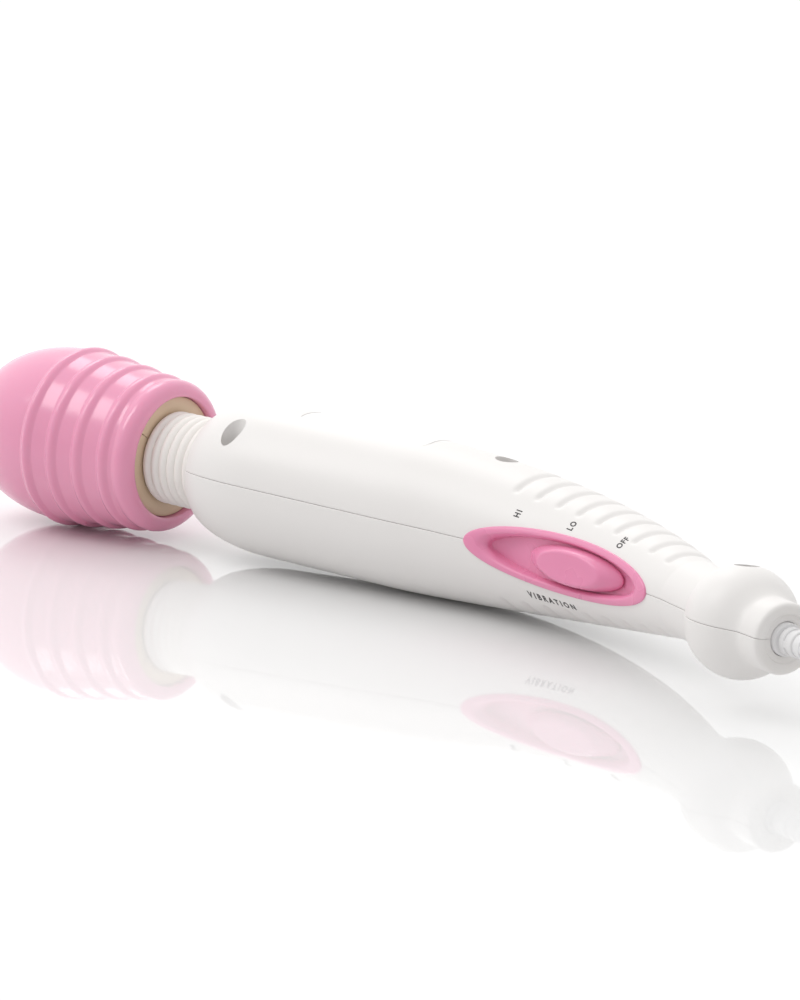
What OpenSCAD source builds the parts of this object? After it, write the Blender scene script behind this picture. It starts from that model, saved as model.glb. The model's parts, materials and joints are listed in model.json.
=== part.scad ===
// Corded handheld wand massager: ribbed vibrating head on a flexible neck, two-shell curved
// handle with a slide switch, internal motor, and a mains lead with its plug.
// The wand is drawn straight along X with the head at -X and the shells' joint in the XY plane,
// then lay() puts it down on its head and belly, rolled a little so that the tail stands clear.

/* [Head] */
// Radius over the widest rib of the cushion
head_r = 28.4; // [26:0.1:31]
// Distance from the neck's middle to the tip of the cushion
head_len = 85; // [80:1:90]
// Distance from the neck's middle to the widest rib
head_wide_x = 46; // [44:1:48]
// Distance between neighbouring ribs
rib_pitch = 9.4; // [9:0.1:9.6]
// Number of ribs
rib_count = 4; // [3:1:4]
// How far a rib stands out of the cushion
rib_h = 0.9; // [0.5:0.1:1.2]
// Radius of the hard core inside the cushion
core_r = 18.8; // [18:0.1:19.5]
// Wall of the core
core_wall = 2.4; // [2:0.1:2.8]
// Turn of the core's joint about the wand's axis
core_turn = 27; // [0:1:60]

/* [Neck] */
// Half of the neck's visible length
neck_half = 9; // [8:0.5:10]
// Radius over the sleeve's ridges
neck_r = 14.4; // [14:0.1:14.6]
// Number of ridges on the sleeve
ridge_count = 6; // [4:1:8]
// Depth of the sleeve's valleys
ridge_h = 0.9; // [0.5:0.1:1.2]

/* [Handle] */
// Radius of the barrel that holds the motor
barrel_r = 23.1; // [22:0.1:24]
// Station where the shoulder ends and the barrel begins
shoulder_s = 36; // [34:1:38]
// Station where the barrel starts to taper
taper_s = 85; // [80:1:90]
// Radius at the waist in front of the tail ball
waist_r = 11.0; // [10.8:0.1:12]
// Station of the waist
waist_s = 212; // [210:1:216]
// Radius of the tail ball
ball_r = 15.4; // [15:0.1:16]
// Station of the ball's centre
ball_s = 239.5; // [238:0.5:241]
// Radius of the cord collar
collar_r = 9.7; // [9:0.1:10.5]
// Station of the collar's flat end
collar_s = 261; // [259:1:263]
// Wall of the shells
wall = 2.4; // [2:0.1:2.8]
// Gap along the joint of the shells
joint_gap = 0.1; // [0.05:0.05:0.2]

/* [Handle curve] */
// Station where the handle starts to bend towards the switch
bend_s = 95; // [93:1:98]
// Radius of the bend
bend_r = 200; // [195:1:205]
// Angle of the bend
bend_deg = 31.2; // [30:0.2:32]
// Length of the straight piece after the bend
grip_straight = 26; // [24:1:28]
// Angle by which the tail turns back
back_deg = 7.4; // [6:0.2:8]

/* [Lying] */
// Tilt that rests both head and belly on the ground
tilt = 2.15; // [2:0.05:2.2]
// Roll that lifts the bent tail clear of the ground
roll = 7; // [0:1:10]
// Shift that brings the object's middle over the origin, along X
lay_x = -99.9; // [-110:0.01:-90]
// Shift that brings the object's middle over the origin, along Y
lay_y = 22.89; // [10:0.01:30]

/* [Switch] */
// Station of the switch's middle
switch_s = 164.5; // [160:0.5:168]
// Half of the bezel's length
bezel_a = 38; // [37:0.5:40]
// Half of the bezel's width
bezel_b = 8.3; // [8:0.1:9]
// Height of the bezel's rim over the shells
rim_h = 0.8; // [0.6:0.1:1.2]
// Half of the well's length
well_a = 31; // [30:0.5:32]
// Half of the well's width
well_b = 6.3; // [6:0.1:6.5]
// Half of the knob's length
knob_a = 19; // [18:0.5:20]
// Half of the knob's width
knob_b = 5.5; // [5:0.1:5.6]
// Travel of the knob from OFF to HI
knob_travel = 9; // [8:0.5:10]

/* [Motor] */
// Radius of the motor can
motor_r = 16; // [15:0.5:16.5]
// Station of the can's front face
motor_s = 44; // [43:1:46]
// Length of the can
motor_len = 42; // [40:1:44]
// Radius of the motor shaft
shaft_r = 1.5; // [1.2:0.1:2]

/* [Cord] */
// Diameter of the cord
cord_d = 5.5; // [5:0.1:6]
// Mean radius of the coil
coil_r = 31.3; // [30:0.1:33]
// Distance between the middles of neighbouring turns
coil_pitch = 5.7; // [5.6:0.1:6.2]

/* [Hidden] */
$fn = 48;

white = [0.93, 0.92, 0.91];
pink = [0.94, 0.56, 0.71];
tan = [0.76, 0.67, 0.54];
steel = [0.72, 0.73, 0.75];
brass = [0.80, 0.66, 0.35];
dark = [0.16, 0.16, 0.17];

// ---- the handle's curved centre line ------------------------------------------------

bend_end = bend_s + bend_r * bend_deg * PI / 180;
back_start = bend_end + grip_straight;
back_end = back_start + bend_r * back_deg * PI / 180;
tail_deg = bend_deg - back_deg;

// Heading of the centre line at a station, in degrees towards -Y
function heading(s) =
    s <= bend_s ? 0 :
    s <= bend_end ? (s - bend_s) / bend_r * 180 / PI :
    s <= back_start ? bend_deg :
    s <= back_end ? bend_deg - (s - back_start) / bend_r * 180 / PI : tail_deg;

function along(deg) = [cos(deg), -sin(deg)];

// Point of the centre line at a station
function spot(s) =
    s <= bend_s ? [s, 0] :
    s <= bend_end ? [bend_s + bend_r * sin(heading(s)), -bend_r * (1 - cos(heading(s)))] :
    s <= back_start ? spot(bend_end) + (s - bend_end) * along(bend_deg) :
    s <= back_end ? spot(back_start) + bend_r * [sin(bend_deg) - sin(heading(s)),
                                                 cos(bend_deg) - cos(heading(s))] :
    spot(back_end) + (s - back_end) * along(tail_deg);

// Outer radius of the shells at a station, without the ball and the collar
front_r = neck_r + 0.4;
shoulder_len = shoulder_s - neck_half;
function shell_r(s) =
    s < shoulder_s
        ? front_r + (barrel_r - front_r) * sqrt(max(0, 1 - pow((shoulder_s - s) / shoulder_len, 2))) :
    s < taper_s ? barrel_r :
    s < waist_s ? barrel_r - (barrel_r - waist_r) * pow((s - taper_s) / (waist_s - taper_s), 1.5) :
    waist_r;

shoulder_stations = [for (a = [0:15:75]) shoulder_s - shoulder_len * cos(a)];
taper_steps = 13;
taper_stations = [for (i = [0:taper_steps]) taper_s + (waist_s - taper_s) * i / taper_steps];
shell_stations = concat(shoulder_stations, [shoulder_s], taper_stations, [ball_s - 8]);

// Height of the wand's axis over the ground at the neck's middle
lay_z = head_r * cos(tilt) - (head_wide_x - 0.8) * sin(tilt);

module lay() {
    translate([lay_x, lay_y, lay_z]) rotate([0, tilt, 0]) rotate([-roll, 0, 0]) children();
}

// Children drawn along +X are moved to a station of the centre line
module at(s) {
    translate([spot(s).x, spot(s).y, 0]) rotate([0, 0, -heading(s)]) children();
}

module rod(r, x1, x2, sides = 48) {
    translate([x1, 0, 0]) rotate([0, 90, 0]) cylinder(r = r, h = x2 - x1, $fn = sides);
}

module ring(r_out, r_in, x1, x2) {
    difference() {
        rod(r_out, x1, x2);
        rod(r_in, x1 - 1, x2 + 1);
    }
}

// A shape of revolution about X, from points [x, r]; turn and sweep give a part of it
module turned(points, turn = 0, sweep = 360) {
    rotate([turn, 0, 0]) rotate([0, 90, 0]) rotate([0, 0, 90])
        rotate_extrude(angle = sweep) polygon([for (p = points) [p[1], p[0]]]);
}

// Hull of thin discs along the centre line, smaller than the shells by inset
module skin(stations, inset) {
    thin = 0.1;
    for (i = [1:len(stations) - 1]) {
        hull() {
            for (s = [stations[i - 1], stations[i]])
                at(s) rod(shell_r(s) - inset, -thin / 2, thin / 2);
        }
    }
}

// A tube swept along points; the ends are closed
function unit(v) = v / norm(v);
function tangent(path, i) =
    unit(path[min(i + 1, len(path) - 1)] - path[max(i - 1, 0)]);
function tube_ring(path, i, r, sides) =
    let (t = tangent(path, i),
         up = abs(t.z) > 0.9 ? [1, 0, 0] : [0, 0, 1],
         u = unit(cross(up, t)),
         v = cross(t, u))
    [for (k = [0:sides - 1]) path[i] + r * (cos(360 * k / sides) * u + sin(360 * k / sides) * v)];

module tube(path, r, sides) {
    n = len(path);
    points = [for (i = [0:n - 1]) each tube_ring(path, i, r, sides)];
    walls = [for (i = [0:n - 2], k = [0:sides - 1])
        let (a = i * sides + k, b = i * sides + (k + 1) % sides)
        each [[a, a + sides, b + sides], [a, b + sides, b]]];
    start = [[for (k = [0:sides - 1]) k]];
    finish = [[for (k = [sides - 1:-1:0]) (n - 1) * sides + k]];
    polyhedron(points = points, faces = concat(walls, start, finish));
}

// A helix about X
function helix(r, x1, x2, turns, steps) =
    [for (i = [0:turns * steps])
        [x1 + (x2 - x1) * i / (turns * steps), r * sin(360 * i / steps), r * cos(360 * i / steps)]];

// ---- head ----------------------------------------------------------------------------

// The cushion's outline: a blunt dome, a slow taper with ribs, and a rounded rear rim
dome_len = head_len - head_wide_x;
skin_r = head_r - rib_h;
rim_x = -8;
rim_r = 23.9;
rim_round = 4;
taper_slope = (skin_r - rim_r + 0.55) / (head_wide_x + rim_x - 1.5 * rim_round);
function cushion_r(x) = skin_r - taper_slope * (x + head_wide_x);
dome = [for (a = [0:6:90]) [-head_wide_x - dome_len * pow(cos(a), 0.88), skin_r * pow(sin(a), 0.88)]];
rib_land = 1.6;
rib_flank = 1.1;
function rib(x) = [
    [x - rib_land / 2 - rib_flank, cushion_r(x - rib_land / 2 - rib_flank)],
    [x - rib_land / 2, cushion_r(x) + rib_h],
    [x + rib_land / 2, cushion_r(x) + rib_h],
    [x + rib_land / 2 + rib_flank, cushion_r(x + rib_land / 2 + rib_flank)]];
ribs = [for (i = [0:rib_count - 1]) each rib(-head_wide_x + i * rib_pitch)];
rim = [for (a = [60:15:180]) [rim_x - rim_round * (1 + cos(a)), rim_r - rim_round * (1 - sin(a))]];
dome_front = [for (p = dome) if (p[0] < -head_wide_x - 3) p];

core_back = -10;
core_len = 60;
core_front = core_back - core_len;
core_gap = 0.15;

module head_cushion() {
    color(pink) lay() difference() {
        turned(concat(dome_front, ribs, rim, [[rim_x, 0]]));
        turned([[core_front - core_gap, 0], [core_front - core_gap, 12.2],
                [core_front + 8, core_r + core_gap], [0, core_r + core_gap], [0, 0]]);
    }
}

// Half of the core: cup with rear wall, two bearing seats and two screw bosses
bearing_r = 8;
boss_y = 13.4;
boss_xs = [-27, -51];
module core_half(turn) {
    inner = core_r - core_wall;
    difference() {
        union() {
            turned([[core_front, 0], [core_front, 12], [core_front + 8, core_r], [core_back, core_r],
                    [core_back, 12.8], [core_back - 2.6, 12.8], [core_back - 2.6, inner],
                    [core_back - 8, inner], [core_back - 8, bearing_r + 0.05],
                    [core_back - 12, bearing_r + 0.05], [core_back - 12, inner],
                    [core_front + 9, inner], [core_front + 9, bearing_r + 0.05],
                    [core_front + 5, bearing_r + 0.05], [core_front + 5, 5],
                    [core_front + 2.4, 5], [core_front + 2.4, 0]], turn, 180);
            rotate([turn, 0, 0]) for (x = boss_xs, y = [-boss_y, boss_y])
                intersection() {
                    translate([x, y, joint_gap / 2]) cylinder(r = 2.3, h = 10);
                    rod(inner + 0.5, core_front, core_back);
                }
        }
        rotate([turn, 0, 0]) {
            for (x = boss_xs, y = [-boss_y, boss_y])
                translate([x, y, -1]) cylinder(r = 1.05, h = 8, $fn = 24);
            translate([core_front - 1, -30, -1]) cube([80, 60, 1 + joint_gap / 2]);
        }
    }
}

module head_core_upper() {
    color(tan) lay() core_half(-core_turn);
}

module head_core_lower() {
    color(tan) lay() core_half(180 - core_turn);
}

module core_screws() {
    color(steel) lay() rotate([-core_turn, 0, 0]) for (x = boss_xs, y = [-boss_y, boss_y])
        translate([x, y, -6]) cylinder(r = 1, h = 12, $fn = 24);
}

shaft_fit = 0.05;
ecc_shaft_r = 2;
module bearing(x1) {
    ring(bearing_r, ecc_shaft_r + shaft_fit, x1, x1 + 4);
}

module bearing_rear() {
    color(brass) lay() bearing(core_back - 12);
}

module bearing_front() {
    color(brass) lay() bearing(core_front + 5);
}

module eccentric_shaft() {
    color(steel) lay() rod(ecc_shaft_r, core_front + 4.5, -7);
}

weight_r = 9.8;
weight_x1 = core_front + 12;
weight_x2 = core_back - 16;
module eccentric_weight() {
    color(steel) lay() rotate([roll, 0, 0]) difference() {
        union() {
            turned([[weight_x1, 0], [weight_x1, weight_r], [weight_x2, weight_r], [weight_x2, 0]],
                   180, 180);
            rod(4.5, weight_x1, weight_x2);
        }
        rod(ecc_shaft_r, weight_x1 - 1, weight_x2 + 1);
        translate([weight_mid, 0, 0]) cylinder(r = 1.25, h = 20, $fn = 24);
    }
}

weight_mid = (weight_x1 + weight_x2) / 2;
module weight_screw() {
    color(dark) lay() rotate([roll, 0, 0])
        translate([weight_mid, 0, ecc_shaft_r]) cylinder(r = 1.2, h = 2.4, $fn = 24);
}

// ---- neck ----------------------------------------------------------------------------

hub_r = 4;
coil_wire = 0.7;
module hub(x1, x2, bore) {
    ring(hub_r, bore, x1, x2);
}

module drive_hub_front() {
    color(brass) lay() hub(-16.5, -8, ecc_shaft_r);
}

// Bellows sleeve with a flange at each end, caught behind the core's and the shells' front walls
bead_start = core_back + 0.2;
bead_end = neck_half - 0.1;
ridge_pitch = (bead_end - bead_start) / ridge_count;
sleeve_half = 15.4;
sleeve_in = 11.2;
sleeve_out = 12.4;
flange_r = 15.6;
module neck_sleeve() {
    valley_r = neck_r - ridge_h;
    beads = [for (i = [0:ridge_count - 1], a = [0:30:150])
        [bead_start + ridge_pitch * (i + 0.5 - cos(a) / 2), valley_r + ridge_h * sin(a)]];
    color(white) lay() turned(concat(
        [[-sleeve_half, sleeve_in], [-sleeve_half, flange_r], [-13, flange_r], [-13, sleeve_out],
         [bead_start, sleeve_out]],
        beads,
        [[bead_end, valley_r], [bead_end, sleeve_out], [13.2, sleeve_out], [13.2, flange_r],
         [sleeve_half, flange_r], [sleeve_half, sleeve_in]]));
}

module neck_spring() {
    color(steel) lay() tube(helix(9.3, -14, 14, 7, 12), 1.1, 6);
}

// Each socket is a flange with a spigot that the support spring is pressed over
module socket(side) {
    mirror([side < 0 ? 1 : 0, 0, 0]) turned([[9.5, 6.2], [9.5, 8], [15.6, 8], [15.6, 15.8],
                                             [17.6, 15.8], [17.6, 6.2]]);
}

module neck_socket_front() {
    color(dark) lay() socket(-1);
}

module neck_socket_rear() {
    color(dark) lay() socket(1);
}

module drive_spring() {
    color(steel) lay() tube(helix(hub_r + coil_wire + 0.4, -15.5, 34, 12, 10), coil_wire, 6);
}

module drive_hub_rear() {
    color(brass) lay() hub(27, 36, shaft_r);
}

// ---- shells --------------------------------------------------------------------------

// Screws of the shells: station, offset from the centre line, height of the head's seat
screw_at = [[26.5, 16.4, 5], [26.5, -16.4, 5], [116.2, 0, 5], [238, 0, 4]];
screw_shank_r = 1.4;
screw_head_r = 2.8;
boss_r = 4.6;

module outer_skin(inset) {
    skin(shell_stations, inset);
    at(ball_s) sphere(ball_r - inset);
}

module collar(inset) {
    at(collar_s) rod(collar_r - inset, -14, -0.6 - inset);
    at(collar_s) rod(collar_r - 0.6 - inset, -2, -inset);
}

relief_plug_r = 4.5;
module cavity() {
    skin([for (s = shell_stations) if (s > 13) s], wall);
    skin([13.1, 15, shoulder_stations[3]], wall);
    at(ball_s) sphere(ball_r - wall);
    at(collar_s) rod(relief_plug_r + 0.05, -16, 1);
    rod(12.6, 0, 20);
}

// One shell: side is 1 above the joint and -1 below it
module half_shell(side) {
    difference() {
        union() {
            difference() {
                union() {
                    outer_skin(0);
                    collar(0);
                }
                cavity();
            }
            intersection() {
                for (p = screw_at) at(p[0]) translate([0, p[1], -30]) cylinder(r = boss_r, h = 60, $fn = 24);
                outer_skin(1);
            }
        }
        translate([-30, -120, side > 0 ? -60 : -joint_gap / 2]) cube([400, 240, 60 + joint_gap / 2]);
        switch_hole(bezel_a - 2, bezel_b - 1.6);
        for (p = screw_at) at(p[0]) translate([0, p[1], 0]) {
            translate([0, 0, -9.5]) cylinder(r = screw_shank_r + 0.08, h = 40, $fn = 16);
            if (side > 0) translate([0, 0, p[2]]) cylinder(r = 3.5, h = 40, $fn = 24);
        }
        if (side > 0) plate_recess(0);
    }
}

module shell_upper() {
    color(white) lay() half_shell(1);
}

module shell_lower() {
    color(white) lay() half_shell(-1);
}

module shell_screws() {
    color(steel) lay() for (p = screw_at) at(p[0]) translate([0, p[1], 0]) {
        translate([0, 0, -9]) cylinder(r = screw_shank_r, h = p[2] + 10);
        translate([0, 0, p[2] + 0.02]) cylinder(r = screw_head_r, h = 2);
    }
}

// Blank rating plate let into the top of the barrel
plate_x = [44, 92];
plate_w = 20;
plate_deep = 0.4;
module plate_recess(inset) {
    intersection() {
        ring(barrel_r + 2, barrel_r - plate_deep, plate_x[0] + inset, plate_x[1] - inset);
        translate([(plate_x[0] + plate_x[1]) / 2, 0, 20])
            cube([60, plate_w - 2 * inset, 40], center = true);
    }
}

module rating_plate() {
    thick = 0.3;
    color([0.85, 0.85, 0.84]) lay() intersection() {
        ring(barrel_r - plate_deep + thick, barrel_r - plate_deep + 0.02, plate_x[0] + 0.3,
             plate_x[1] - 0.3);
        translate([(plate_x[0] + plate_x[1]) / 2, 0, 20]) cube([60, plate_w - 0.6, 40], center = true);
    }
}

// ---- switch --------------------------------------------------------------------------

// Moves children to the middle of the switch: X along the handle's surface towards the tail,
// Z out of the surface
surface_lean = 7.5;
module at_switch() {
    at(switch_s) rotate([0, 0, surface_lean]) translate([0, -shell_r(switch_s), 0])
        rotate([90, 0, 0]) children();
}

module oval(a, b, z1, z2) {
    translate([0, 0, z1]) scale([a, b, 1]) cylinder(r = 1, h = z2 - z1);
}

module switch_hole(a, b) {
    at_switch() oval(a, b, -12, 14);
}

floor_z = -2.6;
floor_t = 1.4;
slot_a = 9;
module switch_bezel() {
    color(pink) lay() difference() {
        union() {
            // rim that lies on the shells
            intersection() {
                skin(shell_stations, -rim_h);
                switch_hole(bezel_a, bezel_b);
            }
            at_switch() oval(bezel_a - 2.3, bezel_b - 1.9, floor_z - floor_t, 0);
        }
        difference() {
            skin([for (s = shell_stations) if (s > 90) s], -0.05);
            switch_hole(bezel_a - 2.3, bezel_b - 1.9);
        }
        at_switch() {
            oval(well_a, well_b, floor_z, 20);
            translate([-slot_a, -1.8, floor_z - 5]) cube([2 * slot_a, 3.6, 10]);
            translate([-60, -20, floor_z - floor_t - 20]) cube([120, 40, 20]);
        }
    }
}

// The knob rests at OFF, nearest the tail
knob_gap = 0.3;
knob_h = 4.8;
module at_knob() {
    at_switch() translate([knob_travel / 2, 0, 0]) children();
}

module switch_knob() {
    color(pink) lay() at_knob() {
        hull() {
            oval(knob_a, knob_b, floor_z + knob_gap, floor_z + knob_gap + 1);
            oval(13.5, 4, floor_z + knob_h - 0.6, floor_z + knob_h);
            oval(15, 4.6, floor_z + knob_h - 1.5, floor_z + knob_h - 1);
        }
        translate([-2.5, -1.4, floor_z - floor_t - 0.6]) cube([5, 2.8, 3.5]);
    }
}

body_z = -6.6;
module switch_actuator() {
    color(dark) lay() at_knob() difference() {
        translate([-3.6, -2.4, body_z + 0.3]) cube([7.2, 4.8, 2]);
        translate([-2.6, -1.5, floor_z - floor_t - 0.7]) cube([5.2, 3, 5]);
    }
}

module switch_body() {
    color(dark) lay() at_switch() difference() {
        translate([-15, -4.5, body_z - 5]) cube([30, 9, 5]);
        for (x = [-12.5, 12.5]) translate([x, 0, body_z - 6]) cylinder(r = 1.15, h = 8, $fn = 24);
    }
}

module switch_pins() {
    color(brass) lay() at_switch() for (x = [-6, 0, 6])
        translate([x - 0.4, -1, body_z - 8]) cube([0.8, 2, 3]);
}

module switch_screws() {
    color(steel) lay() at_switch() for (x = [-12.5, 12.5])
        translate([x, 0, body_z - 6]) {
            cylinder(r = 1.1, h = 8, $fn = 24);
            translate([0, 0, -1]) cylinder(r = 2, h = 1.98, $fn = 24);
        }
}

// ---- motor ---------------------------------------------------------------------------

motor_end = motor_s + motor_len;
can_wall = 1.2;
bush_r = 3.6;
module motor_can() {
    bore = bush_r + 0.02;
    color(steel) lay() turned([[motor_s, bore], [motor_s, motor_r], [motor_end, motor_r],
                               [motor_end, motor_r - can_wall], [motor_s + 1.5, motor_r - can_wall],
                               [motor_s + 1.5, bore]]);
}

module motor_end_cap() {
    color(dark) lay() turned([[motor_end + 0.02, bush_r], [motor_end + 0.02, motor_r],
                              [motor_end + 4, motor_r - 0.5], [motor_end + 4, bush_r]]);
}

magnet_r = motor_r - can_wall - 0.05;
module motor_magnets() {
    color([0.25, 0.24, 0.24]) lay() for (turn = [20, 200])
        turned([[motor_s + 6, 12], [motor_s + 6, magnet_r], [motor_s + 28, magnet_r], [motor_s + 28, 12]],
               turn, 140);
}

module motor_bushes() {
    color(brass) lay() for (x = [motor_s - 1.5, motor_end + 0.02]) ring(bush_r, shaft_r + shaft_fit, x, x + 4.5);
}

module motor_brushes() {
    color(dark) lay() for (side = [-1, 1])
        translate([motor_end - 4.5, 0, side * 7.9]) cube([3.2, 3, 5], center = true);
}

// Laminated core, windings' ends, commutator and shaft turn as one
module motor_rotor() {
    color([0.45, 0.46, 0.48]) lay() {
        rod(shaft_r, 28, motor_end + 8);
        turned([[motor_s + 5, 0], [motor_s + 5, 7], [motor_s + 8, 9], [motor_s + 8, 11.5],
                [motor_s + 26, 11.5], [motor_s + 26, 9], [motor_s + 29, 7], [motor_s + 33, 5.2],
                [motor_s + 40, 5.2], [motor_s + 40, 0]]);
    }
}

mount_r = barrel_r - wall - 0.1;
module motor_mount_front() {
    color(dark) lay() ring(mount_r, motor_r + 0.02, motor_s + 2, motor_s + 8);
}

module motor_mount_rear() {
    color(dark) lay() ring(mount_r, motor_r + 0.02, motor_end - 8, motor_end - 2);
}

// ---- board and leads -----------------------------------------------------------------

// The board stands on edge beside the switch, on the outer side of the bend
board_s = 150;
board_len = 38;
board_y = 5.5;
module at_board() {
    at(board_s) translate([0, board_y, 0]) rotate([0, 0, 6]) children();
}

board_screw_x = [-15.5, 15.5];
module circuit_board() {
    color([0.12, 0.42, 0.25]) lay() at_board() difference() {
        translate([-board_len / 2, -0.8, -7.5]) cube([board_len, 1.6, 15]);
        for (x = board_screw_x) translate([x, 3, 0]) rotate([90, 0, 0]) cylinder(r = 1.2, h = 6, $fn = 24);
    }
}

module bridge_diodes() {
    color(dark) lay() at_board() for (x = [-9, -3], z = [-4, 4])
        translate([x, 2.2, z]) rotate([0, 90, 0]) cylinder(r = 1.35, h = 4.4, $fn = 24, center = true);
}

module board_capacitor() {
    color([0.20, 0.22, 0.45]) lay() at_board() translate([4.6, 0.82, 0])
        rotate([-90, 0, 0]) cylinder(r = 3.6, h = 6);
}

module board_resistors() {
    color([0.80, 0.72, 0.58]) lay() at_board() for (z = [-5, 5])
        translate([11.5, 1.9, z]) rotate([0, 90, 0]) cylinder(r = 1.05, h = 5.5, $fn = 24, center = true);
}

module board_screws() {
    color(steel) lay() at_board() for (x = board_screw_x) translate([x, 0.82, 0])
        rotate([90, 0, 0]) {
            cylinder(r = 1.1, h = 5, $fn = 24);
            translate([0, 0, -1.2]) cylinder(r = 2, h = 1.2, $fn = 24);
        }
}

// Two leads from the cord to the board and two from the board to the motor
module inner_leads() {
    color(dark) lay() {
        for (z = [-4.2, 4.2])
            tube([[92, 4, z], [100, 9, z], [112, 12, z], [124, 10, z], [133, 8, z]], 0.8, 8);
        for (z = [-4.2, 4.2])
            tube([[178, -5.6, z], [190, -17, z], [201, -25.5, z / 2], [211, -33, z / 3]], 0.8, 8);
    }
}

// ---- cord ----------------------------------------------------------------------------

// Ribbed taper with a plug that the collar grips
relief_len = 38;
relief_r1 = 3.8;
relief_r2 = 3.3;
relief_rings = 10;
module strain_relief() {
    pitch = (relief_len - 3) / relief_rings;
    outline = concat(
        [[-14, 2.8], [-14, 5.6], [-11, 5.6], [-11, relief_plug_r], [1, relief_plug_r]],
        [for (i = [0:relief_rings - 1])
            let (x = 1 + i * pitch, r = relief_r1 + (relief_r2 - relief_r1) * i / relief_rings)
            each [[x, r - 0.7], [x + 0.9, r - 0.7], [x + 0.9, r], [x + pitch, r]]],
        [[relief_len, relief_r2 - 0.1], [relief_len, 2.8]]);
    color(white) lay() at(collar_s) turned(outline);
}

// The cord's way from the strain relief down to the ground and round into the coil, in the
// part's own frame
coil_c = [260.5, -41.8];
coil_in = coil_r - 1.5 * coil_pitch;
coil_out = coil_r + 1.5 * coil_pitch;
coil_low = 2 * coil_pitch;
coil_top = 4 * coil_pitch;
cord_path = [
    [183.5, -48.4, 24.8], [189, -50.8, 24.9], [196, -53.9, 24.3], [203, -56.9, 22.2],
    [210, -60, 18.3], [217, -63.2, 13.3], [224, -66.6, 8.5], [231, -70.1, 5.1],
    [238, -73.4, 3.4], [245.3, -76.3, 2.8], [252.5, -78.2, 2.8], [260.5, -78.8, 2.8]];

// The cord's end leaves the second layer on the coil's other side, level with the plug
tail_path = [
    [260.5, -4.8, 8.5], [253.5, -5.4, 8.4], [246.5, -6.8, 8.3], [239.5, -8.7, 8.2],
    [232.5, -10.4, 8.1], [226, -11.6, 8], [220.5, -12, 8]];

module cord() {
    color(white) tube(cord_path, cord_d / 2, 8);
}

// Two columns of turns stand four high, the outer one two high
module cord_coil() {
    color(white) translate([coil_c.x, coil_c.y, 0]) rotate_extrude()
        polygon([[coil_in, 0], [coil_out, 0], [coil_out, coil_low],
                 [coil_r + coil_pitch / 2, coil_low], [coil_r + coil_pitch / 2, coil_top],
                 [coil_in, coil_top]]);
}

module cord_tail() {
    color(white) tube(tail_path, cord_d / 2, 8);
}

// A strap over the coil's turns, with both ends tucked under
module coil_wrap(gap) {
    offset(delta = gap) polygon([[coil_in, -9], [coil_in, coil_top],
                                 [coil_r + coil_pitch / 2, coil_top], [coil_out, coil_low],
                                 [coil_out, -9]]);
}

tie_w = 6;
module cord_tie() {
    strap = 0.8;
    slack = 0.4;
    color(dark) translate([coil_c.x, coil_c.y + tie_w / 2, 0]) rotate([90, 0, 0])
        linear_extrude(tie_w) intersection() {
            difference() {
                coil_wrap(slack + strap);
                coil_wrap(slack);
            }
            square([60, 40]);
        }
}

// Two-pin mains plug lying on the ground with its blades towards -X
plug_at = [224, -12, 8];
plug_len = 30;
plug_w = 22;
plug_t = 15.8;
module plug_outline(front, half) {
    polygon([[-plug_len, -half], [-14, -half], [-6, -0.8 * half], [0, -front], [0, front],
             [-6, 0.8 * half], [-14, half], [-plug_len, half]]);
}

module plug_body() {
    color(white) translate(plug_at) intersection() {
        rotate([0, -90, 0]) linear_extrude(plug_len) offset(3)
            square([plug_t - 6, plug_w - 6], center = true);
        linear_extrude(plug_t + 2, center = true) plug_outline(5, plug_w / 2);
        rotate([90, 0, 0]) linear_extrude(plug_w + 2, center = true) plug_outline(4.6, plug_t / 2);
    }
}

blade_gap = 12.7;
blade_len = 17.5;
module plug_blades() {
    color(steel) translate(plug_at) for (y = [-blade_gap / 2, blade_gap / 2])
        translate([-plug_len - blade_len, y - 0.75, -3.2]) cube([blade_len, 1.5, 6.4]);
}

head_cushion();
head_core_upper();
head_core_lower();
core_screws();
bearing_rear();
bearing_front();
eccentric_shaft();
eccentric_weight();
weight_screw();
drive_hub_front();
neck_sleeve();
neck_spring();
neck_socket_front();
neck_socket_rear();
drive_spring();
drive_hub_rear();
shell_upper();
shell_lower();
shell_screws();
rating_plate();
switch_bezel();
switch_knob();
switch_actuator();
switch_body();
switch_pins();
switch_screws();
motor_can();
motor_end_cap();
motor_magnets();
motor_bushes();
motor_brushes();
motor_rotor();
motor_mount_front();
motor_mount_rear();
circuit_board();
bridge_diodes();
board_capacitor();
board_resistors();
board_screws();
inner_leads();
strain_relief();
cord();
cord_coil();
cord_tail();
cord_tie();
plug_body();
plug_blades();
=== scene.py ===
import json
import math
import bmesh
import bpy
from mathutils import Matrix, Vector


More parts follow.
